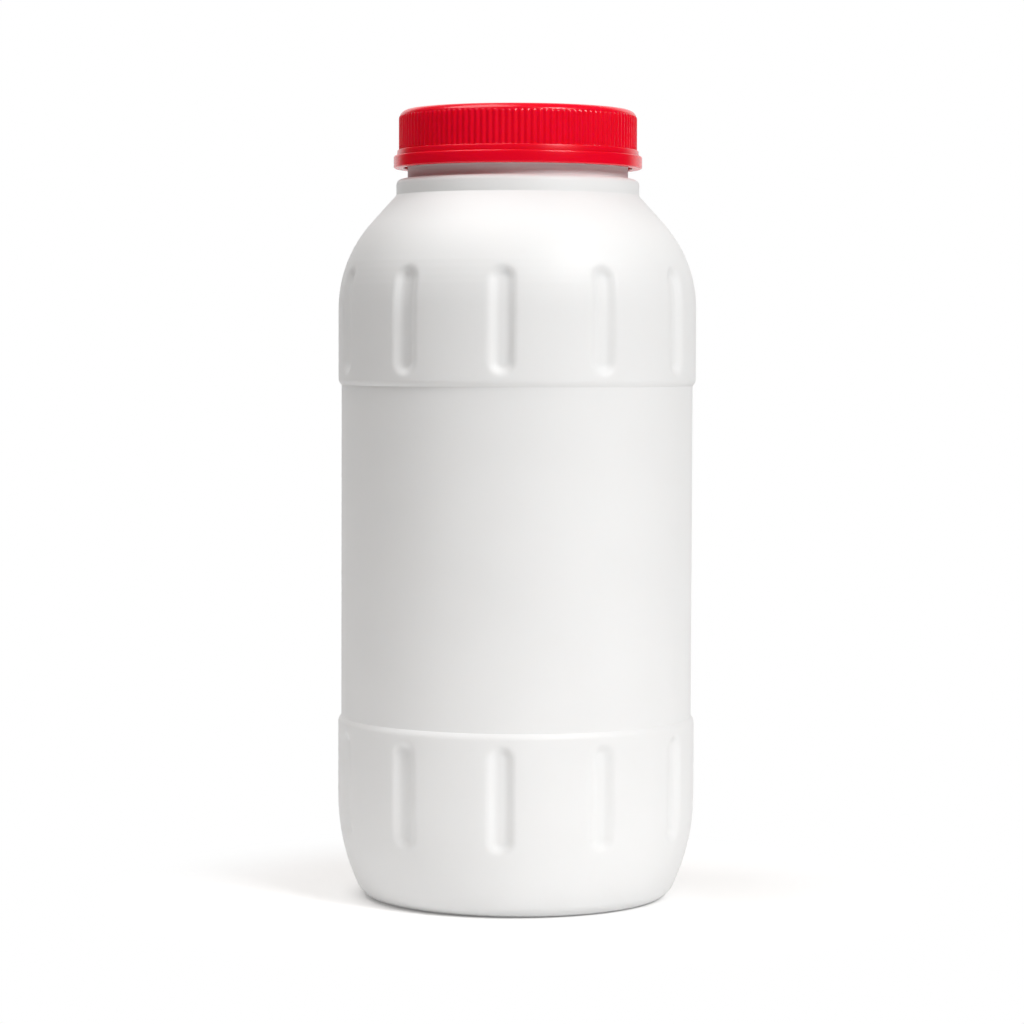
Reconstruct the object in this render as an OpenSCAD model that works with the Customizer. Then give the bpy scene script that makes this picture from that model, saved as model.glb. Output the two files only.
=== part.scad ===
// Wide-mouth bottle for granules, blow-moulded, with a knurled screw cap, its liner and a tamper-evident band.
// Sizes in millimetres, +Z up, the bottle stands on z = 0 with its axis on Z. The mould parts along the X axis.

/* [Body] */
// Outer diameter of the two fluted bands
body_d = 92; // [88:1:96]
// Even wall of the blown shell
wall = 1.2; // [1:0.1:1.5]
// Height of the curved heel
heel_h = 26.1; // [25:0.1:29]
// Radius of the heel's long curve
heel_r = 54.4; // [52:0.2:56]
// Angle that the heel's long curve turns through
heel_a = 25; // [23:0.5:26]
// Height of the lower fluted band above the heel
lower_band_h = 20.6; // [19:0.1:24]
// Height of the upper fluted band below the shoulder
upper_band_h = 19.5; // [18:0.1:24]

/* [Label panel] */
// Height of the panel between the two bands
panel_h = 85.2; // [78:0.1:94]
// Depth of the panel below the bands
panel_depth = 0.8; // [0.4:0.1:1.2]
// Radius that rounds the bands' edges at the panel
panel_edge_r = 2.2; // [2:0.1:3]

/* [Base] */
// Width of the flat ring that the bottle stands on
stand_w = 2.5; // [2:0.1:4]
// Height of the push-up inside the standing ring
push_h = 3.5; // [2.5:0.1:4.5]
// Slope of the push-up's side
push_a = 50; // [40:1:60]
// Length of the pinch-off weld across the push-up
pinch_l = 40; // [30:1:44]
// Width of the pinch-off weld
pinch_w = 1; // [0.8:0.1:1.6]
// Height of the pinch-off weld below the push-up
pinch_h = 0.5; // [0.3:0.1:1]

/* [Flutes] */
// Flutes on each half of the mould, in each band
flutes_per_half = 5; // [3:1:5]
// Angle from one flute to the next
flute_step = 32.7; // [30:0.1:34]
// Height of one flute
flute_h = 28; // [24:0.1:30]
// Depth of a flute at its ends
flute_depth = 1.3; // [1:0.1:1.4]
// Radius of a flute's round section
flute_r = 6; // [5:0.1:8]
// Plain stretch between a flute and the label panel
flute_gap = 2.4; // [2:0.1:4]

/* [Shoulder and collar] */
// Radius of the shoulder's curve
shoulder_r = 33; // [30:1:36]
// Slope of the shoulder's straight part, from the vertical
shoulder_a = 42; // [38:1:46]
// Diameter of the collar on the shoulder
collar_d = 62.4; // [60.5:0.1:64]
// Height of the collar
collar_h = 4.1; // [3:0.1:5]
// Radius of the collar's top edge
collar_edge_r = 1.8; // [0.5:0.1:2]

/* [Neck] */
// Height from the collar's top to the rim of the mouth
neck_h = 15.1; // [14.6:0.1:17]
// Diameter of the mouth's bore
mouth_d = 50.2; // [48:0.1:51]
// Wall of the neck behind the thread
neck_wall = 1.85; // [1.6:0.05:2.2]
// Diameter of the neck below the retaining bead
neck_foot_d = 56.6; // [56:0.1:57.4]
// How far the retaining bead overlaps the band's snap bead
bead_hold = 0.8; // [0.5:0.1:1]
// Height of the retaining bead
bead_h = 1.6; // [1.4:0.1:1.8]
// Chamfer of the rim's edges
rim_edge = 0.4; // [0.2:0.1:0.6]

/* [Thread] */
// Rise of the thread in one turn
pitch = 4.2; // [4:0.05:4.5]
// Turns of the neck's thread
neck_turns = 1.25; // [1:0.05:1.3]
// Plain stretch of the cap's wall below its thread
cap_lead = 0.4; // [0.3:0.1:0.8]
// Height of the ridge above its wall
thread_h = 1.3; // [1:0.05:1.4]
// Width of the ridge at its wall
thread_w = 2.2; // [2:0.05:2.3]
// Width of the ridge at its crest
crest_w = 0.9; // [0.6:0.05:1]
// From the rim down to the middle of the neck thread's top end
thread_drop = 2.2; // [2:0.1:2.6]
// Clearance between the threads, and between each crest and the other wall
thread_gap = 0.3; // [0.25:0.05:0.4]
// Angle over which each end of a ridge sinks into its wall
thread_fade = 30; // [20:2:40]

/* [Cap] */
// Height of the cap without the band
cap_h = 11.7; // [11.5:0.1:12.1]
// Thickness of the cap's top
cap_top_t = 1.6; // [1.4:0.1:2]
// Wall of the cap between the knurl's valleys and the bore
cap_wall = 1.65; // [1.4:0.05:2]
// Radius of the cap's top edge
cap_edge_r = 2.4; // [2:0.1:2.6]
// Ridges round the skirt
ridges = 120; // [100:4:140]
// Height of a ridge above its valley
ridge_h = 0.4; // [0.3:0.05:0.6]
// Width of a ridge's crest, as a share of the ridge spacing
ridge_crest = 0.22; // [0.15:0.01:0.3]
// Width of a ridge's foot, as a share of the ridge spacing
ridge_foot = 0.72; // [0.6:0.01:0.85]
// Plain stretch from the cap's top down to the ridges
ridge_drop = 1.6; // [1.2:0.1:2]
// How far the flared foot stands out from the knurl's valleys
flare_w = 1.1; // [0.8:0.1:1.4]
// Height of the flared foot
flare_h = 1.5; // [1.3:0.1:2]
// Height of the flare's sloping top
flare_slope_h = 0.9; // [0.6:0.1:1.2]

/* [Liner] */
// Thickness of the foam liner
liner_t = 1; // [0.8:0.1:1.2]
// Clearance between the liner and the cap's bore
liner_gap = 0.2; // [0.1:0.05:0.3]

/* [Tamper band] */
// Height of the band
band_h = 2.9; // [2.8:0.1:3.2]
// Wall of the band
band_wall = 1.2; // [1:0.1:1.4]
// How far the band stands out from the cap's flared foot
band_step = 0.6; // [0.4:0.1:0.8]
// Height of the snap bead inside the band
snap_h = 0.9; // [0.8:0.1:1]
// How far the snap bead stands in from the band's wall
snap_w = 1.3; // [1.1:0.1:1.4]
// Gap between the cap's foot and the band, and between the two beads
band_gap = 0.3; // [0.25:0.05:0.35]
// Radius of the band's outer edges
band_edge_r = 0.4; // [0.2:0.1:0.5]

/* [Hidden] */
round_fn = 144;
arc_step = 4;       // degrees from one point of an arc to the next
thread_step = 6;    // degrees from one ring of a thread to the next
bury = 0.5;         // how far one shape reaches into the next before they are joined

// Radii
body_r = body_d / 2;
collar_r = collar_d / 2;
mouth_r = mouth_d / 2;
neck_r = mouth_r + neck_wall;
cap_bore_r = neck_r + thread_h + thread_gap;
valley_r = cap_bore_r + cap_wall;
ridge_r = valley_r + ridge_h;
flare_r = valley_r + flare_w;
band_r = flare_r + band_step;
band_in_r = band_r - band_wall;
snap_r = band_in_r - snap_w;
bead_r = snap_r + bead_hold;
neck_foot_r = neck_foot_d / 2;

// Heights of the bottle, from the base up
panel_edge_a = acos(1 - panel_depth / panel_edge_r);
panel_edge_h = panel_edge_r * sin(panel_edge_a);
panel_z = heel_h + lower_band_h;
panel_top_z = panel_z + panel_h;
shoulder_z = panel_top_z + upper_band_h;
slope_r = body_r - shoulder_r * (1 - cos(shoulder_a));
slope_z = shoulder_z + shoulder_r * sin(shoulder_a);
collar_z = slope_z + (slope_r - collar_r) / tan(shoulder_a);
collar_top_z = collar_z + collar_h;
rim_z = collar_top_z + neck_h;

// Heights of the closure, from the rim
cap_roof_z = rim_z + liner_t;
cap_top_z = cap_roof_z + cap_top_t;
cap_foot_z = cap_top_z - cap_h;
band_top_z = cap_foot_z - band_gap;
band_z = band_top_z - band_h;
bead_z = band_z + snap_h + band_gap;

// Threads. The cap's ridge hangs below the neck's, and its upper flank bears on it.
neck_thread_top_z = rim_z - thread_drop;
neck_thread_z = neck_thread_top_z - neck_turns * pitch;
flank = (thread_w - crest_w) / 2 / thread_h;
ridge_half = thread_w / 2 + flank * bury;
cap_thread_drop = crest_w + (thread_h - thread_gap) * flank + thread_gap;
cap_thread_z = cap_foot_z + cap_lead + ridge_half;
cap_thread_a = 360 * (cap_thread_z - neck_thread_z + cap_thread_drop) / pitch;
cap_turns = (neck_thread_top_z - cap_thread_drop - cap_thread_z) / pitch;

// Base and heel
foot_r = (heel_h - heel_r * sin(heel_a)) / (1 - sin(heel_a));
heel_centre_r = body_r - heel_r;
foot_centre_r = heel_centre_r + (heel_r - foot_r) * cos(heel_a);
stand_in_r = foot_centre_r - stand_w;
push_r = push_h / (1 - cos(push_a)) / 2;
push_flat_r = stand_in_r - 2 * push_r * sin(push_a);

// Flutes: the middles of each flute's two round ends
flute_end = sqrt(flute_r * flute_r - (flute_r - flute_depth) * (flute_r - flute_depth));
lower_flute_top = panel_z - flute_gap - flute_end;
lower_flute_foot = panel_z - flute_gap - flute_h + flute_end;
upper_flute_foot = panel_top_z + flute_gap + flute_end;
upper_flute_top = panel_top_z + flute_gap + flute_h - flute_end;

// Points on an arc round [r, z], both ends included
function arc(centre, radius, from, to) =
    let (steps = max(2, ceil(abs(to - from) / arc_step)))
    [for (i = [0:steps]) let (a = from + (to - from) * i / steps)
        centre + radius * [cos(a), sin(a)]];

function unit(v) = v / norm(v);
function left_of(v) = [-v[1], v[0]];

// The points moved to the left of their direction of travel by d, with mitred corners
function inset(points, d) =
    let (last = len(points) - 1)
    [for (i = [0:last])
        let (
            before = unit(points[max(i, 1)] - points[max(i, 1) - 1]),
            after = unit(points[min(i, last - 1) + 1] - points[min(i, last - 1)]),
            n = unit(left_of(before) + left_of(after))
        )
        points[i] + n * d / (n * left_of(before))];

// Slope of the outer wall at height z, as the angle of its outward normal above the horizontal
function wall_slope(z) =
    z < heel_h ? -asin((heel_h - z) / heel_r) :
    z > shoulder_z ? asin((z - shoulder_z) / shoulder_r) : 0;

// Outer radius of a band's wall at height z, along the heel and the shoulder too
function wall_r(z) =
    z < heel_h ? heel_centre_r + heel_r * cos(wall_slope(z)) :
    z > shoulder_z ? body_r - shoulder_r * (1 - cos(wall_slope(z))) : body_r;

// A point at distance d outside the wall at height z
function off_wall(z, d) = [wall_r(z), z] + d * [cos(wall_slope(z)), sin(wall_slope(z))];

// Outline of the blown shell, from the middle of the base up to the collar
shell = concat(
    [[0, push_h]],
    arc([push_flat_r, push_h - push_r], push_r, 90, 90 - push_a),
    arc([stand_in_r, push_r], push_r, -90 - push_a + arc_step, -90),
    arc([foot_centre_r, foot_r], foot_r, -90, -heel_a),
    arc([heel_centre_r, heel_h], heel_r, -heel_a + arc_step, 0),
    arc([body_r - panel_edge_r, panel_z - panel_edge_h], panel_edge_r, 0, panel_edge_a),
    arc([body_r - panel_edge_r, panel_top_z + panel_edge_h], panel_edge_r, -panel_edge_a, 0),
    arc([body_r - shoulder_r, shoulder_z], shoulder_r, 0, shoulder_a),
    [[collar_r, collar_z]]
);

// Outline of the collar, the neck and the rim
finish = concat(
    arc([collar_r - collar_edge_r, collar_top_z - collar_edge_r], collar_edge_r, 0, 90),
    [
        [neck_foot_r, collar_top_z],
        [neck_foot_r, bead_z],
        [bead_r - bead_h / 6, bead_z],
        [bead_r, bead_z + bead_h / 6],
        [bead_r, bead_z + bead_h / 3],
        [neck_r, bead_z + bead_h],
        [neck_r, rim_z - rim_edge],
        [neck_r - rim_edge, rim_z],
        [0, rim_z],
    ]
);

// The cavity follows the shell at an even wall, bulges into the collar and narrows to the mouth
cavity = concat(
    inset(shell, wall),
    [
        [collar_r - wall, collar_top_z - wall - collar_edge_r],
        [collar_r - wall - collar_edge_r, collar_top_z - wall],
        [mouth_r, collar_top_z],
        [mouth_r, rim_z - rim_edge],
        [mouth_r + rim_edge + bury, rim_z + bury],
        [0, rim_z + bury],
    ]
);

module turned(outline) rotate_extrude($fn = round_fn) polygon(outline);

// A capsule from point a to point b, both [r, z], in the XZ plane
module capsule(a, b, radius) {
    length = norm(b - a);
    translate([a[0], 0, a[1]]) rotate([0, atan2(b[0] - a[0], b[1] - a[1]), 0])
        rotate_extrude($fn = 48) {
            translate([0, length]) intersection() {
                circle(r = radius, $fn = 48);
                square(radius);
            }
            square([radius, length]);
            mirror([0, 1]) intersection() {
                circle(r = radius, $fn = 48);
                square(radius);
            }
        }
}

// The flutes of both bands, on the front and the back half, grown by extra
module flutes(extra) {
    out = flute_r - flute_depth;
    for (half = [-90, 90], i = [0:flutes_per_half - 1])
        rotate(half + (i - (flutes_per_half - 1) / 2) * flute_step) {
            capsule(off_wall(lower_flute_foot, out), off_wall(lower_flute_top, out), flute_r + extra);
            capsule(off_wall(upper_flute_foot, out), off_wall(upper_flute_top, out), flute_r + extra);
        }
}

// Points of one cross-section of a ridge at angle a and height z. rise is 1 at full height and 0 where it has sunk.
function ridge_ring(wall_radius, side, a, z, rise) =
    let (
        foot = wall_radius - side * bury,
        crest = wall_radius + side * (thread_h * rise - bury * (1 - rise) / 2),
        section = [[foot, -ridge_half], [crest, -crest_w / 2], [crest, crest_w / 2], [foot, ridge_half]],
        ordered = side > 0 ? section : [for (i = [3:-1:0]) section[i]]
    )
    [for (p = ordered) [p[0] * cos(a), p[0] * sin(a), z + p[1]]];

// A right-hand ridge on a wall, standing out for side 1 and in for side -1
module ridge(wall_radius, side, start_a, start_z, turns) {
    sweep_a = 360 * turns;
    steps = ceil(sweep_a / thread_step);
    rings = [for (i = [0:steps])
        let (t = sweep_a * i / steps, rise = min(1, t / thread_fade, (sweep_a - t) / thread_fade))
        ridge_ring(wall_radius, side, start_a + t, start_z + pitch * t / 360, rise)];
    polyhedron(
        points = [for (ring = rings) each ring],
        faces = concat(
            [[3, 2, 1, 0]],
            [for (i = [0:steps - 1], k = [0:3])
                let (p = 4 * i + k, q = 4 * i + (k + 1) % 4) each [[p, q, p + 4], [q, q + 4, p + 4]]],
            [[for (k = [0:3]) 4 * steps + k]]
        ),
        convexity = 6
    );
}

module bottle() color("white") {
    difference() {
        turned(concat(shell, finish));
        flutes(0);
        difference() {
            turned(cavity);
            flutes(wall);
        }
    }
    ridge(neck_r, 1, 0, neck_thread_z, neck_turns);
    translate([-pinch_l / 2, -pinch_w / 2, push_h - pinch_h])
        cube([pinch_l, pinch_w, pinch_h + bury]);
}

// Section of the knurl: low ridges with flat crests
module knurl_section() {
    spacing = 360 / ridges;
    polygon([for (i = [0:ridges - 1], s = [-ridge_foot, -ridge_crest, ridge_crest, ridge_foot])
        let (r = abs(s) == ridge_foot ? valley_r : ridge_r, a = (i + s / 2) * spacing)
        r * [cos(a), sin(a)]]);
}

module cap() color("red") {
    ridge_top_z = cap_top_z - ridge_drop;
    difference() {
        union() {
            turned(concat(
                [[0, cap_foot_z], [flare_r, cap_foot_z], [flare_r, cap_foot_z + flare_h - flare_slope_h],
                 [valley_r, cap_foot_z + flare_h]],
                arc([valley_r - cap_edge_r, cap_top_z - cap_edge_r], cap_edge_r, 0, 90),
                [[0, cap_top_z]]
            ));
            intersection() {
                translate([0, 0, cap_foot_z + bury]) linear_extrude(cap_h) knurl_section();
                turned([[0, cap_foot_z], [ridge_r + bury, cap_foot_z], [ridge_r + bury, ridge_top_z - ridge_h - bury],
                        [valley_r - bury, ridge_top_z + bury], [0, ridge_top_z + bury]]);
            }
        }
        translate([0, 0, cap_foot_z - bury]) cylinder(r = cap_bore_r, h = cap_roof_z - cap_foot_z + bury, $fn = round_fn);
    }
    ridge(cap_bore_r, -1, cap_thread_a, cap_thread_z, cap_turns);
}

module liner() color("gainsboro")
    translate([0, 0, rim_z]) cylinder(r = cap_bore_r - liner_gap, h = liner_t, $fn = round_fn);

module tamper_band() color("red")
    turned(concat(
        [[band_in_r, band_top_z], [band_in_r, band_z + snap_h], [snap_r, band_z + snap_h], [snap_r, band_z]],
        arc([band_r - band_edge_r, band_z + band_edge_r], band_edge_r, -90, 0),
        arc([band_r - band_edge_r, band_top_z - band_edge_r], band_edge_r, 0, 90)
    ));

bottle();
cap();
liner();
tamper_band();
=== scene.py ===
import math

import bmesh
import bpy
from mathutils import Matrix, Vector


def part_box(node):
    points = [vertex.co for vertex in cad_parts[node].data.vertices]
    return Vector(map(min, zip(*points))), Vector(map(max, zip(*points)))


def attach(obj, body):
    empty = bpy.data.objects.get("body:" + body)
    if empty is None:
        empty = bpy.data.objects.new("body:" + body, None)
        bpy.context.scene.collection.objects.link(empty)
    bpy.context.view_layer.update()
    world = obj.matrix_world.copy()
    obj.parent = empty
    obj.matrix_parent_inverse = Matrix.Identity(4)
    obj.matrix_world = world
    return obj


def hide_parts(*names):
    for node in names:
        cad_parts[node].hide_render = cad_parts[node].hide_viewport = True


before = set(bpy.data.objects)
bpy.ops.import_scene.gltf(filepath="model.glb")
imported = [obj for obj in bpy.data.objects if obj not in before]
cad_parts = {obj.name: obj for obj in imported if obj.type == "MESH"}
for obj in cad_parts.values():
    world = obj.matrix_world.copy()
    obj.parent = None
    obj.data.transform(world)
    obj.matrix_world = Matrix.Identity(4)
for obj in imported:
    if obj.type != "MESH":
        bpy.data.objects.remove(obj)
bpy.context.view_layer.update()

# The pieces' sizes are in millimetres, and MM turns them to metres where a vertex is placed
MM = 0.001
MERGE = 0.001

# A rounding takes at most this share of each side of its corner
SIDE_SHARE = 0.49

# A ring at this share of a flat disc's radius keeps its smooth shading flat
DISC_RING = 0.6


def node_corners(node):
    """Lowest and highest corner of a CAD node's box, in millimetres."""
    low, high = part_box(node)
    return Vector(low) / MM, Vector(high) / MM


# Places read from the frame
BOTTLE_HIGH = node_corners("bottle")[1]
CAP_LOW, CAP_HIGH = node_corners("cap")
BAND_LOW, BAND_HIGH = node_corners("tamper_band")
LINER_LOW, LINER_HIGH = node_corners("liner")

# Blown shell
BODY_R = BOTTLE_HIGH.x
WALL = 1.2
HEEL_H = 26.1
HEEL_R = 54.4
HEEL_A = math.radians(25)
PANEL_Z = 46.7
PANEL_TOP_Z = 131.9
PANEL_DEPTH = 0.8
PANEL_EDGE_R = 2.2
PANEL_LIP_W = 0.2
PANEL_LIP_H = 0.14
PANEL_ROUND = 0.3
PANEL_ROUND_H = 1.2
SHOULDER_Z = 151.4
SHOULDER_R = 33.0
SHOULDER_A = math.radians(42)

# Base
STAND_W = 2.5
PUSH_H = 3.5
PUSH_A = math.radians(50)
PINCH_L = 40.0
PINCH_W = 1.0
PINCH_H = 0.5
PINCH_ROUND = 0.25

# Flutes, five on each half of the mould in each band
FLUTES_PER_HALF = 5
FLUTE_STEP = math.radians(32.7)
FLUTE_H = 28.0
FLUTE_GAP = 2.4
FLUTE_HALF_W = 3.8
FLUTE_FLOOR = 1.0
FLUTE_DEPTH = 1.35
LOWER_FLUTES = (PANEL_Z - FLUTE_GAP - FLUTE_H, PANEL_Z - FLUTE_GAP)
UPPER_FLUTES = (PANEL_TOP_Z + FLUTE_GAP, PANEL_TOP_Z + FLUTE_GAP + FLUTE_H)

# Rows of the shell's mesh: close together where the flutes end, and a little beyond
OUTSIDE_ROW = 0.62
INSIDE_ROW = 2.4
FLUTE_END_H = 5
ROW_MARGIN = 1

# Collar, neck and mouth
RIM_Z = BOTTLE_HIGH.z
COLLAR_R = 31.2
COLLAR_H = 4.1
COLLAR_EDGE_R = 1.8
NECK_H = 15.1
NECK_FOOT_R = 28.3
NECK_R = 26.95
MOUTH_R = 25.1
BEAD_R = 30.2
BEAD_H = 1.6
BEAD_Z = BAND_LOW.z + 1.2
BEAD_ROUND = 0.3
RIM_ROUND = 0.45
COLLAR_INSIDE_H = 0.5
COLLAR_INSIDE_ROUND = 0.8

# Thread
PITCH = 4.2
THREAD_H = 1.3
THREAD_W = 2.2
CREST_W = 0.9
NECK_TURNS = 1.25
THREAD_DROP = 2.2
THREAD_GAP = 0.3
THREAD_FADE = math.radians(30)
THREAD_STEPS = 96
CREST_ROUND = 0.3
CAP_LEAD = 0.4
BURY = 0.5

# Cap
CAP_BORE_R = 28.55
CREST_R = 30.6
RIDGE_H = 0.32
RIM_STEP = 0.05
RIDGES = 120
RIDGE_DROP = 1.5
RIDGE_FULLNESS = 0.8
RIDGE_END_H = 0.45
RIDGE_ROW = 0.12
CAP_EDGE_R = 2.4
FLARE_H = 1.5
LEDGE_R = 30.95
FLARE_FOOT_R = 31.15
CAP_TOP_T = 1.6
TOP_RING_R = 14
WAD_RING_R = 16

# Rows of the cap's mesh lie close together this far past the ridges' ends, and along them
PAST_END_H = 0.3
ALONG_END_H = 0.6

# Tamper band
BAND_R = BAND_HIGH.x
BAND_IN_R = 30.7
SNAP_R = 29.4
SNAP_H = 0.9
SLIT = 0.04

# Steps round the axis, and the sectors that they are spun in
SHELL_TURN = (390, 30)
CAP_TURN = (RIDGES * 8, 30)
BAND_TURN = (288, 18)
LINER_TURN = (192, 16)


# Outlines: lists of (radius, height) points that are spun round the axis

def arc(centre_r, centre_z, radius, start, end, count):
    """Points on an arc, both ends included. Angles are in radians from the outward direction."""
    return [
        (centre_r + radius * math.cos(a), centre_z + radius * math.sin(a))
        for a in (start + (end - start) * i / count for i in range(count + 1))
    ]


def softened(corners, steps=4):
    """Rounds each corner, given as (radius, height, rounding), with a tangent arc."""
    points = []
    for i, (r, z, rounding) in enumerate(corners):
        here = Vector((r, z))
        if not rounding or i in (0, len(corners) - 1):
            points.append((r, z))
            continue
        back = Vector(corners[i - 1][:2]) - here
        ahead = Vector(corners[i + 1][:2]) - here
        half = back.angle(ahead) / 2
        reach = min(rounding / math.tan(half), back.length * SIDE_SHARE, ahead.length * SIDE_SHARE)
        first = here + back.normalized() * reach
        last = here + ahead.normalized() * reach
        middle = here + (back.normalized() + ahead.normalized()).normalized() * reach / math.cos(half)
        radius = (first - middle).length
        start = math.atan2(first.y - middle.y, first.x - middle.x)
        turn = (math.atan2(last.y - middle.y, last.x - middle.x) - start + math.pi) % math.tau - math.pi
        points += arc(middle.x, middle.y, radius, start, start + turn, steps)
    return points


def rows(points, spacing, low, high):
    """Adds points to an outline, so that they lie at most spacing apart between two heights."""
    out = [points[0]]
    for start, end in zip(points, points[1:]):
        here, whole = Vector(start), Vector(end) - Vector(start)
        # The segment is cut where it crosses the two heights, unless that is at one of its ends
        crossings = [(z - start[1]) / whole.y for z in (low, high) if whole.y]
        shares = sorted([0, 1] + [share for share in crossings if 0.001 < share < 0.999])
        for share, following in zip(shares, shares[1:]):
            middle_z = start[1] + whole.y * (share + following) / 2
            count = math.ceil(whole.length * (following - share) / spacing) if low < middle_z < high else 1
            for i in range(1, count + 1):
                out.append(tuple(here + whole * (share + (following - share) * i / count)))
    return out


def inset(points, distance):
    """An outline moved to the left of its direction of travel, with mitred corners."""
    out = []
    for i, point in enumerate(points):
        here = Vector(point)
        before = (here - Vector(points[i - 1])).normalized() if i else None
        after = (Vector(points[i + 1]) - here).normalized() if i < len(points) - 1 else None
        before, after = before or after, after or before
        normal = Vector((-before.y - after.y, before.x + after.x)).normalized()
        side = Vector((-before.y, before.x))
        out.append(tuple(here + normal * distance / normal.dot(side)))
    return out


# Meshes

def finished(bm, name, material):
    """Makes a smooth-shaded object at the origin from a bmesh, with its faces pointing outwards."""
    bmesh.ops.remove_doubles(bm, verts=bm.verts, dist=MERGE * MM)
    bmesh.ops.recalc_face_normals(bm, faces=bm.faces)
    for face in bm.faces:
        face.smooth = True
    mesh = bpy.data.meshes.new(name)
    bm.to_mesh(mesh)
    bm.free()
    mesh.materials.append(material)
    obj = bpy.data.objects.new(name, mesh)
    bpy.context.scene.collection.objects.link(obj)
    return obj


def spun(outline, turn):
    """A bmesh of an outline spun once round the axis: one sector is spun, and then copied round."""
    steps, sectors = turn
    bm = bmesh.new()
    verts = [bm.verts.new((r * MM, 0, z * MM)) for r, z in outline]
    edges = [bm.edges.new(pair) for pair in zip(verts, verts[1:])]
    sector = math.tau / sectors
    bmesh.ops.spin(
        bm, geom=verts + edges, cent=(0, 0, 0), axis=(0, 0, 1), dvec=(0, 0, 0),
        angle=sector, steps=steps // sectors, use_merge=False,
    )
    bmesh.ops.spin(
        bm, geom=bm.verts[:] + bm.edges[:] + bm.faces[:], cent=(0, 0, 0), axis=(0, 0, 1), dvec=(0, 0, 0),
        angle=math.tau - sector, steps=sectors - 1, use_duplicate=True, use_merge=False,
    )
    bmesh.ops.remove_doubles(bm, verts=bm.verts, dist=MERGE * MM)
    return bm


def add_ridge(bm, wall_r, side, start_angle, start_z, turns):
    """Adds a right-hand thread ridge to a wall, standing out for side 1 and in for side -1."""
    half_foot = THREAD_W / 2 + (THREAD_W - CREST_W) / 2 / THREAD_H * BURY
    crest_r = wall_r + side * THREAD_H
    section = softened([
        (wall_r - side * BURY, -half_foot, 0),
        (crest_r, -CREST_W / 2, CREST_ROUND),
        (crest_r, CREST_W / 2, CREST_ROUND),
        (wall_r - side * BURY, half_foot, 0),
    ], steps=3)
    ridge = bmesh.new()
    turned = Matrix.Rotation(start_angle, 4, "Z")
    verts = [ridge.verts.new(turned @ Vector((r * MM, 0, (z + start_z) * MM))) for r, z in section]
    edges = [ridge.edges.new((verts[i], verts[(i + 1) % len(verts)])) for i in range(len(verts))]
    steps = round(turns * THREAD_STEPS)
    bmesh.ops.spin(
        ridge, geom=verts + edges, cent=(0, 0, 0), axis=(0, 0, 1), dvec=(0, 0, PITCH * turns / steps * MM),
        angle=turns * math.tau, steps=steps, use_merge=False,
    )
    bmesh.ops.holes_fill(ridge, edges=[e for e in ridge.edges if e.is_boundary], sides=0)
    # The ridge sinks into its wall at both ends
    for v in ridge.verts:
        radius = math.hypot(v.co.x, v.co.y) / MM
        share = ((math.atan2(v.co.y, v.co.x) - start_angle) / math.tau) % 1
        whole = round((v.co.z / MM - start_z) / PITCH - share)
        along = min(max(share + whole, 0), turns) * math.tau
        rise = min(1, along / THREAD_FADE, (turns * math.tau - along) / THREAD_FADE)
        height = max(0, side * (radius - wall_r) + BURY)
        sunk = height * (BURY / 2 * (1 - rise) + (THREAD_H + BURY) * rise) / (THREAD_H + BURY)
        scale = (wall_r + side * (sunk - BURY)) / radius
        v.co.x *= scale
        v.co.y *= scale
    bmesh.ops.recalc_face_normals(ridge, faces=ridge.faces)
    mesh = bpy.data.meshes.new("thread_ridge")
    ridge.to_mesh(mesh)
    ridge.free()
    bm.from_mesh(mesh)
    bpy.data.meshes.remove(mesh)


def smooth_step(value):
    """A share from 0 to 1 that leaves and arrives gently."""
    value = min(max(value, 0), 1)
    return value * value * (3 - 2 * value)


# Bottle

def shell_outline(arc_points):
    """The blown shell's outside, from the middle of the base up to the collar's foot."""
    foot_r = (HEEL_H - HEEL_R * math.sin(HEEL_A)) / (1 - math.sin(HEEL_A))
    heel_r = BODY_R - HEEL_R
    foot_centre_r = heel_r + (HEEL_R - foot_r) * math.cos(HEEL_A)
    stand_in_r = foot_centre_r - STAND_W
    push_r = PUSH_H / (1 - math.cos(PUSH_A)) / 2
    push_flat_r = stand_in_r - 2 * push_r * math.sin(PUSH_A)
    edge_a = math.acos(1 - PANEL_DEPTH / PANEL_EDGE_R)
    edge_h = PANEL_EDGE_R * math.sin(edge_a)
    edge_r = BODY_R - PANEL_EDGE_R
    panel_r = BODY_R - PANEL_DEPTH
    quarter = math.pi / 2
    return (
        [(0, PUSH_H), (push_flat_r * DISC_RING, PUSH_H)]
        + arc(push_flat_r, PUSH_H - push_r, push_r, quarter, quarter - PUSH_A, arc_points)
        + arc(stand_in_r, push_r, push_r, -quarter - PUSH_A, -quarter, arc_points)[1:]
        + arc(foot_centre_r, foot_r, foot_r, -quarter, -HEEL_A, arc_points + 2)
        + arc(heel_r, HEEL_H, HEEL_R, -HEEL_A, 0, arc_points + 2)[1:]
        + arc(edge_r, PANEL_Z - edge_h, PANEL_EDGE_R, 0, edge_a, arc_points)[:-1]
        + softened([
            (panel_r + PANEL_LIP_W, PANEL_Z - PANEL_LIP_H, 0),
            (panel_r, PANEL_Z, PANEL_ROUND),
            (panel_r, PANEL_Z + PANEL_ROUND_H, 0),
            (panel_r, PANEL_TOP_Z - PANEL_ROUND_H, 0),
            (panel_r, PANEL_TOP_Z, PANEL_ROUND),
            (panel_r + PANEL_LIP_W, PANEL_TOP_Z + PANEL_LIP_H, 0),
        ], steps=3)
        + arc(edge_r, PANEL_TOP_Z + edge_h, PANEL_EDGE_R, -edge_a, 0, arc_points)[1:]
        + arc(BODY_R - SHOULDER_R, SHOULDER_Z, SHOULDER_R, 0, SHOULDER_A, arc_points * 2)
    )


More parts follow.
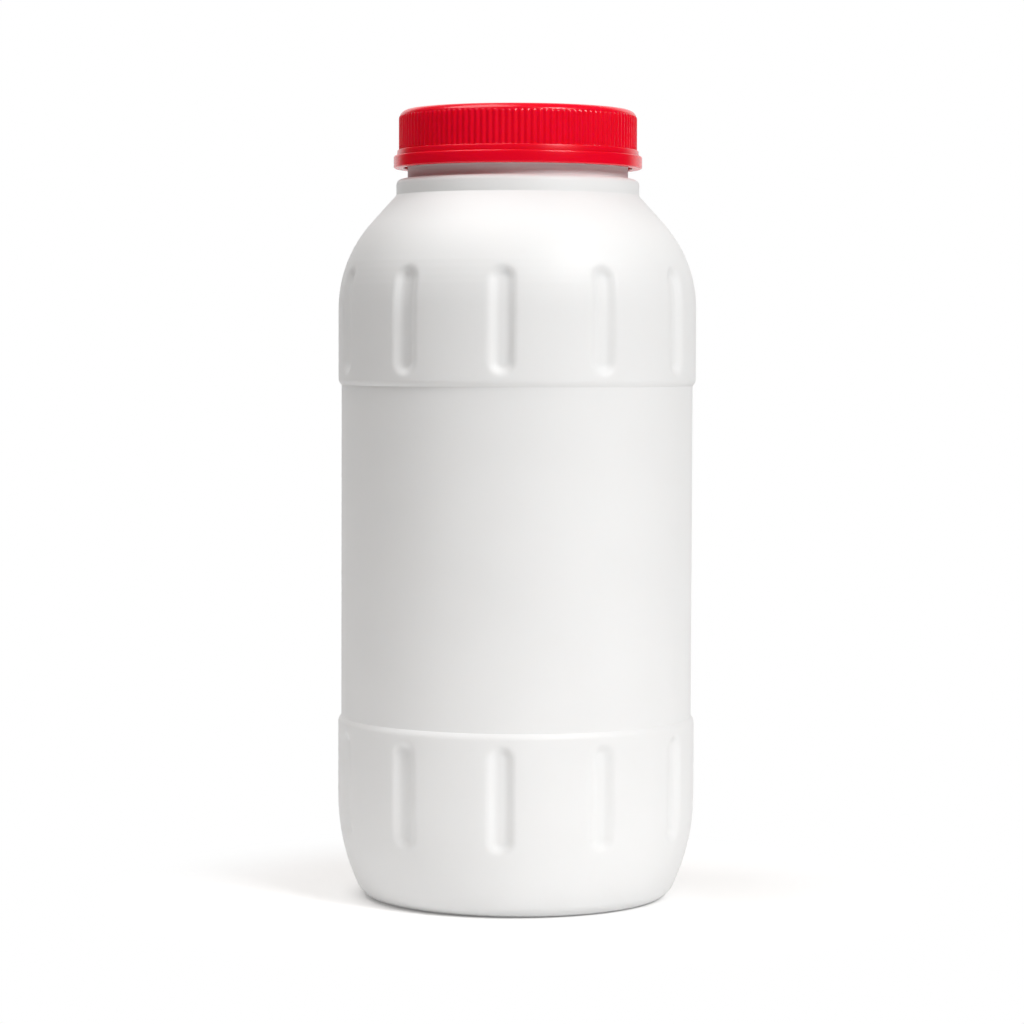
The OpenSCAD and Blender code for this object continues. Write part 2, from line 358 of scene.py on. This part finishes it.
def bottle_outline():
    """The whole section: outside up to the rim, then down the inside to the middle of the base."""
    collar_top = RIM_Z - NECK_H
    collar_foot = collar_top - COLLAR_H
    outside = shell_outline(6)
    inside = inset(shell_outline(3), WALL)
    for foot, top in (LOWER_FLUTES, UPPER_FLUTES):
        outside = rows(outside, OUTSIDE_ROW, foot - ROW_MARGIN, foot + FLUTE_END_H)
        outside = rows(outside, OUTSIDE_ROW, top - FLUTE_END_H, top + ROW_MARGIN)
        inside = rows(inside, INSIDE_ROW, foot - ROW_MARGIN, top + ROW_MARGIN)
    shoulder_end = outside[-1]
    neck = softened([
        (shoulder_end[0] - 0.01, shoulder_end[1] + 0.01, 0),
        (COLLAR_R, collar_foot, 0.35),
        (COLLAR_R, collar_top, COLLAR_EDGE_R),
        (NECK_FOOT_R, collar_top, 0.5),
        (NECK_FOOT_R, BEAD_Z, 0.25),
        (BEAD_R, BEAD_Z, BEAD_ROUND),
        (BEAD_R, BEAD_Z + BEAD_H / 3, BEAD_ROUND),
        (NECK_R, BEAD_Z + BEAD_H, BEAD_ROUND),
        (NECK_R, RIM_Z, RIM_ROUND),
        (MOUTH_R, RIM_Z, RIM_ROUND),
        (MOUTH_R, collar_top, COLLAR_INSIDE_ROUND),
        (COLLAR_R - WALL, collar_top - WALL - COLLAR_INSIDE_H, COLLAR_EDGE_R),
        (COLLAR_R - WALL, collar_foot + COLLAR_INSIDE_H, COLLAR_INSIDE_ROUND),
        (shoulder_end[0] - WALL, shoulder_end[1] - WALL * 0.5, 0),
    ])
    return outside + neck[1:-1] + inside[::-1]


def flute_depth(angle, radius, z):
    """How far a wall point is pressed in by the nearest flute."""
    half_angle = angle % math.pi - math.pi / 2
    index = round(half_angle / FLUTE_STEP)
    reach = (FLUTES_PER_HALF - 1) // 2
    index = min(max(index, -reach), reach)
    across = (half_angle - index * FLUTE_STEP) * radius
    core = FLUTE_H / 2 - FLUTE_HALF_W
    depth = 0
    for foot, _ in (LOWER_FLUTES, UPPER_FLUTES):
        along = max(abs(z - foot - FLUTE_H / 2) - core, 0)
        share = (FLUTE_HALF_W - math.hypot(across, along)) / (FLUTE_HALF_W - FLUTE_FLOOR)
        depth = max(depth, FLUTE_DEPTH * smooth_step(share))
    return depth


def wall_normal(z):
    """Outward direction of the bands' wall at a height, as (radius, height)."""
    if z < HEEL_H:
        slope = -math.asin(min(1, (HEEL_H - z) / HEEL_R))
    elif z > SHOULDER_Z:
        slope = min(SHOULDER_A, math.asin(min(1, (z - SHOULDER_Z) / SHOULDER_R)))
    else:
        slope = 0
    return math.cos(slope), math.sin(slope)


def build_bottle(material):
    bm = spun(bottle_outline(), SHELL_TURN)
    lowest, highest = LOWER_FLUTES[0] - ROW_MARGIN, UPPER_FLUTES[1] + ROW_MARGIN
    for v in bm.verts:
        z = v.co.z / MM
        if not lowest < z < highest:
            continue
        radius = math.hypot(v.co.x, v.co.y) / MM
        depth = flute_depth(math.atan2(v.co.y, v.co.x), radius, z)
        if depth:
            out, up = wall_normal(z)
            scale = (radius - depth * out) / radius
            v.co = Vector((v.co.x * scale, v.co.y * scale, v.co.z - depth * up * MM))
    add_ridge(bm, NECK_R, 1, 0, RIM_Z - THREAD_DROP - NECK_TURNS * PITCH, NECK_TURNS)
    weld_size = Matrix.Diagonal((PINCH_L * MM, PINCH_W * MM, 2 * PINCH_H * MM, 1))
    weld_place = Matrix.Translation((0, 0, PUSH_H * MM))
    weld = bmesh.ops.create_cube(bm, size=1, matrix=weld_place @ weld_size)["verts"]
    bmesh.ops.bevel(
        bm, geom=list({e for v in weld for e in v.link_edges}), offset=PINCH_ROUND * MM,
        segments=2, profile=0.5, affect="EDGES", material=-1,
    )
    return finished(bm, "bottle_shell", material)


# Closure

def crest_radius(z):
    """The ridges' outermost radius at a height: upright, and rounded over at the top."""
    into_edge = z - (CAP_HIGH.z - CAP_EDGE_R)
    if into_edge <= 0:
        return CREST_R
    return CREST_R - CAP_EDGE_R + math.sqrt(max(CAP_EDGE_R ** 2 - into_edge ** 2, 0))


def ridge_rise(angle):
    """Height share of the knurl at an angle, from 0 in a valley to 1 on a ridge."""
    return (0.5 + 0.5 * math.cos(angle * RIDGES)) ** RIDGE_FULLNESS


def cap_outline():
    """The whole section: from the middle of the top down the outside, and up the inside."""
    foot, top = CAP_LOW.z, CAP_HIGH.z
    valley = CREST_R - RIDGE_H
    edge_foot = top - CAP_EDGE_R
    reach = math.sqrt(CAP_EDGE_R ** 2 - (CAP_EDGE_R - RIDGE_H + RIM_STEP) ** 2)
    rim = [(r - RIM_STEP, z) for r, z in arc(
        CREST_R - CAP_EDGE_R, edge_foot, CAP_EDGE_R, math.pi / 2, math.asin(reach / CAP_EDGE_R), 10)]
    skirt = softened([
        (valley, edge_foot, 0), (valley, foot + FLARE_H, 0.08), (LEDGE_R, foot + FLARE_H - 0.12, 0.22),
        (FLARE_FOOT_R, foot, 0.05), (FLARE_FOOT_R - 1.2, foot, 0),
    ], steps=6)
    outside = [(0, top), (TOP_RING_R, top)] + rim
    outside += rows(skirt, RIDGE_ROW, foot + FLARE_H - PAST_END_H, foot + FLARE_H + ALONG_END_H)
    outside = rows(outside, RIDGE_ROW, top - RIDGE_DROP - ALONG_END_H, top - RIDGE_DROP + PAST_END_H)
    inner = softened([
        (CAP_BORE_R + 1, foot, 0), (CAP_BORE_R, foot, 0.3), (CAP_BORE_R, top - CAP_TOP_T, 0.15),
        (WAD_RING_R, top - CAP_TOP_T, 0), (0, top - CAP_TOP_T, 0),
    ])
    return outside + inner[1:]


def build_cap(material):
    bm = spun(cap_outline(), CAP_TURN)
    ridge_top = CAP_HIGH.z - RIDGE_DROP
    # Only the skirt's outside is ridged: the bore lies deeper
    for v in bm.verts:
        radius = math.hypot(v.co.x, v.co.y) / MM
        z = v.co.z / MM
        if radius < CREST_R - RIDGE_H - 0.3 or z > ridge_top:
            continue
        rounding = min((ridge_top - z) / RIDGE_END_H, 1)
        fade = math.sqrt(1 - (1 - rounding) ** 2)
        ridged = radius + (crest_radius(z) - radius) * ridge_rise(math.atan2(v.co.y, v.co.x)) * fade
        if ridged > radius:
            v.co.x *= ridged / radius
            v.co.y *= ridged / radius
    # The cap's thread starts one lead above its foot, and its flanks lie a running gap from the neck's
    start_z = CAP_LOW.z + CAP_LEAD + THREAD_W / 2 + (THREAD_W - CREST_W) / 2 / THREAD_H * BURY
    neck_start = RIM_Z - THREAD_DROP - NECK_TURNS * PITCH
    drop = CREST_W + (THREAD_H - THREAD_GAP) * (THREAD_W - CREST_W) / 2 / THREAD_H + THREAD_GAP
    turns = (RIM_Z - THREAD_DROP - drop - start_z) / PITCH
    start_angle = (start_z - neck_start + drop) / PITCH * math.tau
    add_ridge(bm, CAP_BORE_R, -1, start_angle, start_z, turns)
    return finished(bm, "screw_cap", material)


def build_band(material):
    foot, top = BAND_LOW.z, CAP_LOW.z - SLIT
    outline = softened([
        (BAND_IN_R, (foot + SNAP_H + top) / 2, 0), (BAND_IN_R, foot + SNAP_H, 0.2),
        (SNAP_R, foot + SNAP_H, 0.3), (SNAP_R, foot, 0.3),
        (BAND_R, foot, 0.4), (BAND_R, top, 0.4), (BAND_IN_R, top, 0.2),
        (BAND_IN_R, (foot + SNAP_H + top) / 2, 0),
    ], steps=5)
    return finished(spun(outline, BAND_TURN), "tamper_ring", material)


def build_liner(material):
    foot, top, edge = LINER_LOW.z, LINER_HIGH.z, LINER_HIGH.x
    outline = softened([
        (0, top, 0), (edge * DISC_RING, top, 0), (edge, top, 0.2),
        (edge, foot, 0.2), (edge * DISC_RING, foot, 0), (0, foot, 0),
    ])
    return finished(spun(outline, LINER_TURN), "foam_liner", material)


# Materials

def linear(hex_colour):
    """An sRGB hex colour as linear RGBA."""
    channels = [int(hex_colour[i:i + 2], 16) / 255 for i in (1, 3, 5)]
    return tuple(c / 12.92 if c <= 0.04045 else ((c + 0.055) / 1.055) ** 2.4 for c in channels) + (1,)


def add_node(tree, kind, links=None, **settings):
    """Adds a shader node, sets its properties and inputs, and links other nodes' outputs to its inputs."""
    node = tree.nodes.new(kind)
    for key, value in settings.items():
        if hasattr(node, key):
            setattr(node, key, value)
        else:
            node.inputs[key.replace("_", " ")].default_value = value
    for name, source in (links or {}).items():
        tree.links.new(source, node.inputs[name])
    return node


def new_material(name):
    material = bpy.data.materials.new(name)
    material.use_nodes = True
    material.node_tree.nodes.clear()
    return material, material.node_tree


def blown_hdpe():
    """White high-density polyethylene, blown in a sand-blasted mould: satin, uneven, faintly translucent."""
    material, tree = new_material("blown_white_hdpe")
    place = add_node(tree, "ShaderNodeTexCoord").outputs["Object"]
    # The wall is a little thicker and thinner over stretches of about 30 mm, which bends its reflections
    waves = add_node(tree, "ShaderNodeTexNoise", {"Vector": place}, Scale=33.0, Detail=1.0)
    # The blasted mould leaves fine grains, drawn at 0.35 mm so that they still show
    grain = add_node(tree, "ShaderNodeTexNoise", {"Vector": place}, Scale=2800.0, Detail=2.0)
    tint = add_node(tree, "ShaderNodeValToRGB", {"Fac": waves.outputs["Fac"]})
    tint.color_ramp.elements[0].position = 0.3
    tint.color_ramp.elements[0].color = linear("#F1F2F2")
    tint.color_ramp.elements[1].position = 0.7
    tint.color_ramp.elements[1].color = linear("#F4F5F5")
    shine = add_node(tree, "ShaderNodeMapRange", {"Value": grain.outputs["Fac"]}, To_Min=0.48, To_Max=0.56)
    soft_bump = add_node(
        tree, "ShaderNodeBump", {"Height": waves.outputs["Fac"]}, Strength=0.12, Distance=0.0006,
    )
    bump = add_node(
        tree, "ShaderNodeBump", {"Height": grain.outputs["Fac"], "Normal": soft_bump.outputs["Normal"]},
        Strength=0.08, Distance=0.00004,
    )
    shader = add_node(
        tree, "ShaderNodeBsdfPrincipled",
        {
            "Base Color": tint.outputs["Color"],
            "Roughness": shine.outputs["Result"],
            "Normal": bump.outputs["Normal"],
        },
        IOR=1.54,
    )
    shader.inputs["Subsurface Weight"].default_value = 0.12
    shader.inputs["Subsurface Radius"].default_value = (1.0, 0.9, 0.85)
    shader.inputs["Subsurface Scale"].default_value = 0.0015
    add_node(tree, "ShaderNodeOutputMaterial", {"Surface": shader.outputs["BSDF"]})
    return material


def moulded_pp():
    """Red polypropylene, injection moulded in a polished tool: semi-gloss, even colour, faint flow marks."""
    material, tree = new_material("moulded_red_polypropylene")
    place = add_node(tree, "ShaderNodeTexCoord").outputs["Object"]
    # Flow marks of about 8 mm, just enough to break the reflections
    flow = add_node(tree, "ShaderNodeTexNoise", {"Vector": place}, Scale=120.0, Detail=2.0)
    # Fine tool texture, drawn at 0.4 mm so that it still shows
    grain = add_node(tree, "ShaderNodeTexNoise", {"Vector": place}, Scale=2500.0, Detail=1.0)
    tint = add_node(tree, "ShaderNodeValToRGB", {"Fac": flow.outputs["Fac"]})
    tint.color_ramp.elements[0].position = 0.3
    tint.color_ramp.elements[0].color = linear("#F00025")
    tint.color_ramp.elements[1].position = 0.7
    tint.color_ramp.elements[1].color = linear("#F50028")
    shine = add_node(tree, "ShaderNodeMapRange", {"Value": flow.outputs["Fac"]}, To_Min=0.2, To_Max=0.26)
    bump = add_node(tree, "ShaderNodeBump", {"Height": grain.outputs["Fac"]}, Strength=0.06, Distance=0.00003)
    shader = add_node(
        tree, "ShaderNodeBsdfPrincipled",
        {
            "Base Color": tint.outputs["Color"],
            "Roughness": shine.outputs["Result"],
            "Normal": bump.outputs["Normal"],
        },
        IOR=1.49,
    )
    # A little light passes through the thin walls, and comes out red
    shader.inputs["Subsurface Weight"].default_value = 0.5
    shader.inputs["Subsurface Radius"].default_value = (1.0, 0.06, 0.05)
    shader.inputs["Subsurface Scale"].default_value = 0.001
    add_node(tree, "ShaderNodeOutputMaterial", {"Surface": shader.outputs["BSDF"]})
    return material


def liner_foam():
    """Expanded polyethylene foam: matt off-white with fine closed cells."""
    material, tree = new_material("expanded_polyethylene_foam")
    place = add_node(tree, "ShaderNodeTexCoord").outputs["Object"]
    # Cells of about 0.5 mm
    cells = add_node(tree, "ShaderNodeTexVoronoi", {"Vector": place}, Scale=2000.0)
    tint = add_node(tree, "ShaderNodeValToRGB", {"Fac": cells.outputs["Distance"]})
    tint.color_ramp.elements[0].color = linear("#DCDCD6")
    tint.color_ramp.elements[1].color = linear("#EEEEEA")
    bump = add_node(
        tree, "ShaderNodeBump", {"Height": cells.outputs["Distance"]}, Strength=0.3, Distance=0.0001,
    )
    shader = add_node(
        tree, "ShaderNodeBsdfPrincipled",
        {"Base Color": tint.outputs["Color"], "Normal": bump.outputs["Normal"]},
        Roughness=0.85, IOR=1.5,
    )
    add_node(tree, "ShaderNodeOutputMaterial", {"Surface": shader.outputs["BSDF"]})
    return material


def studio_floor():
    """White paper that takes the bottle's shadow, and fades to plain white away from it."""
    material, tree = new_material("white_sweep")
    place = add_node(tree, "ShaderNodeTexCoord").outputs["Object"]
    paper = add_node(tree, "ShaderNodeBsdfDiffuse", Color=linear("#F8F8F8"))
    white = add_node(tree, "ShaderNodeEmission", Color=WHITE, Strength=FLOOR_GLOW)
    lit = add_node(tree, "ShaderNodeAddShader")
    tree.links.new(paper.outputs["BSDF"], lit.inputs[0])
    tree.links.new(white.outputs["Emission"], lit.inputs[1])
    far_white = add_node(tree, "ShaderNodeEmission", Color=WHITE, Strength=1.0)
    distance = add_node(tree, "ShaderNodeVectorMath", {"Vector": place}, operation="LENGTH")
    far = add_node(
        tree, "ShaderNodeMapRange", {"Value": distance.outputs["Value"]},
        From_Min=SHADOW_REACH * SHADOW_FULL, From_Max=SHADOW_REACH, interpolation_type="SMOOTHSTEP",
    )
    shown = add_node(tree, "ShaderNodeMixShader", {"Fac": far.outputs["Result"]})
    tree.links.new(lit.outputs["Shader"], shown.inputs[1])
    tree.links.new(far_white.outputs["Emission"], shown.inputs[2])
    ray = add_node(tree, "ShaderNodeLightPath")
    seen = add_node(
        tree, "ShaderNodeMath",
        {0: ray.outputs["Is Camera Ray"], 1: ray.outputs["Is Glossy Ray"]}, operation="MAXIMUM",
    )
    surface = add_node(tree, "ShaderNodeMixShader", {"Fac": seen.outputs["Value"]})
    tree.links.new(paper.outputs["BSDF"], surface.inputs[1])
    tree.links.new(shown.outputs["Shader"], surface.inputs[2])
    add_node(tree, "ShaderNodeOutputMaterial", {"Surface": surface.outputs["Shader"]})
    return material


# Studio, in metres and watts

FLOOR_SIZE = 0.9
# The shadow fades to white between this share of its reach and the whole of it
SHADOW_REACH = 0.11
SHADOW_FULL = 0.45
# Strengths, where 1 is white
FLOOR_GLOW = 0.17
SKY_TOP = 0.63
SKY_EDGE = 0.0
FRONT_WHITE = 0.04
# Mirrored rays see the backdrop between these shares of the way from sideways to straight behind
BACKDROP_START = 0.6
BACKDROP_WHOLE = 0.85
WHITE = (1, 1, 1, 1)
WARM_WHITE = (1, 0.94, 0.9, 1)
LAMP_AIM = (0, 0, 0.11)
KEY_PLACE = (0.85, -0.8, 0.95)
KEY_SIDE = 0.5
KEY_POWER = 12.7
TOP_PLACE = (-0.35, -0.1, 1.05)
TOP_SIDE = 0.6
TOP_POWER = 4.2


def build_floor():
    bm = bmesh.new()
    bmesh.ops.create_grid(bm, x_segments=2, y_segments=2, size=FLOOR_SIZE / 2)
    floor = finished(bm, "studio_floor", studio_floor())


def build_world():
    """A room that is pale overhead and dim towards its walls, with a white backdrop that the camera sees.

    The backdrop is mirrored in the sides of the bottle, and the dark end of the room in its front.
    """
    world = bpy.data.worlds.new("studio")
    bpy.context.scene.world = world
    world.use_nodes = True
    tree = world.node_tree
    tree.nodes.clear()
    ray = add_node(tree, "ShaderNodeLightPath")
    mirrored = add_node(
        tree, "ShaderNodeMath", {0: ray.outputs["Is Glossy Ray"], 1: ray.outputs["Is Transmission Ray"]},
        operation="MAXIMUM",
    )
    seen = add_node(
        tree, "ShaderNodeMath",
        {0: ray.outputs["Is Camera Ray"], 1: mirrored.outputs["Value"]}, operation="MAXIMUM",
    )
    place = add_node(tree, "ShaderNodeTexCoord")
    direction = add_node(tree, "ShaderNodeSeparateXYZ", {"Vector": place.outputs["Generated"]})
    room = add_node(
        tree, "ShaderNodeMapRange", {"Value": direction.outputs["Z"]}, To_Min=SKY_EDGE, To_Max=SKY_TOP,
    )
    behind = add_node(
        tree, "ShaderNodeMapRange", {"Value": direction.outputs["Y"]},
        From_Min=BACKDROP_START, From_Max=BACKDROP_WHOLE, To_Min=FRONT_WHITE, To_Max=1.0,
        interpolation_type="SMOOTHSTEP",
    )
    backdrop = add_node(
        tree, "ShaderNodeMath",
        {0: behind.outputs["Result"], 1: ray.outputs["Is Camera Ray"]}, operation="MAXIMUM",
    )
    strength = add_node(
        tree, "ShaderNodeMapRange",
        {
            "Value": seen.outputs["Value"],
            "To Min": room.outputs["Result"],
            "To Max": backdrop.outputs["Value"],
        },
    )
    # The dim walls are a little warm
    warmth = add_node(
        tree, "ShaderNodeMixRGB", {"Fac": seen.outputs["Value"]}, Color1=WARM_WHITE, Color2=WHITE,
    )
    sky = add_node(
        tree, "ShaderNodeBackground",
        {"Color": warmth.outputs["Color"], "Strength": strength.outputs["Result"]},
    )
    add_node(tree, "ShaderNodeOutputWorld", {"Surface": sky.outputs["Background"]})


def add_softbox(name, place, side, power):
    """Adds a square lamp, turned towards the middle of the bottle."""
    light = bpy.data.lights.new(name, "AREA")
    light.shape = "SQUARE"
    light.size = side
    light.energy = power
    lamp = bpy.data.objects.new(name, light)
    lamp.location = place
    lamp.rotation_euler = (Vector(LAMP_AIM) - Vector(place)).to_track_quat("-Z", "Y").to_euler()
    bpy.context.scene.collection.objects.link(lamp)


def build_lights():
    add_softbox("key_softbox", KEY_PLACE, KEY_SIDE, KEY_POWER)
    add_softbox("top_softbox", TOP_PLACE, TOP_SIDE, TOP_POWER)


# Camera, in millimetres and pixels, from the photograph's perspective: a long lens, nearly level

PHOTO_SIDE = 1024
SENSOR_W = 36.0
FOCAL_PX = 3293.7
CAMERA_DISTANCE = 850.0
CAMERA_HEIGHT = 140.9
CAMERA_PITCH = math.radians(2.813)
CAMERA_ROLL = math.radians(0.19)
CAMERA_AZIMUTH = math.radians(4.75)
AXIS_OFFSET_PX = 4.7


def build_camera():
    data = bpy.data.cameras.new("photo_camera")
    data.sensor_width = SENSOR_W
    data.lens = FOCAL_PX / PHOTO_SIDE * SENSOR_W
    data.clip_start = 0.01
    camera = bpy.data.objects.new("photo_camera", data)
    sideways = -AXIS_OFFSET_PX / FOCAL_PX * CAMERA_DISTANCE
    place = Vector((sideways, -CAMERA_DISTANCE, CAMERA_HEIGHT)) * MM
    turned = Matrix.Rotation(CAMERA_AZIMUTH, 4, "Z")
    level = Matrix.Rotation(math.pi / 2 - CAMERA_PITCH, 4, "X")
    rolled = Matrix.Rotation(CAMERA_ROLL, 4, "Z")
    camera.matrix_world = turned @ Matrix.Translation(place) @ level @ rolled
    bpy.context.scene.collection.objects.link(camera)
    bpy.context.scene.camera = camera


def main():
    bpy.context.scene.view_settings.view_transform = "Standard"
    build_camera()
    build_world()
    build_lights()
    build_floor()

    white, red, foam = blown_hdpe(), moulded_pp(), liner_foam()
    pieces = (
        (build_bottle(white), "bottle", "bottle_white"),
        (build_cap(red), "cap", "closure_red"),
        (build_band(red), "tamper_band", "closure_red"),
        (build_liner(foam), "liner", "liner_foam"),
    )
    for piece, node, slot in pieces:
        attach(piece, node)
        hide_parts(node)


main()
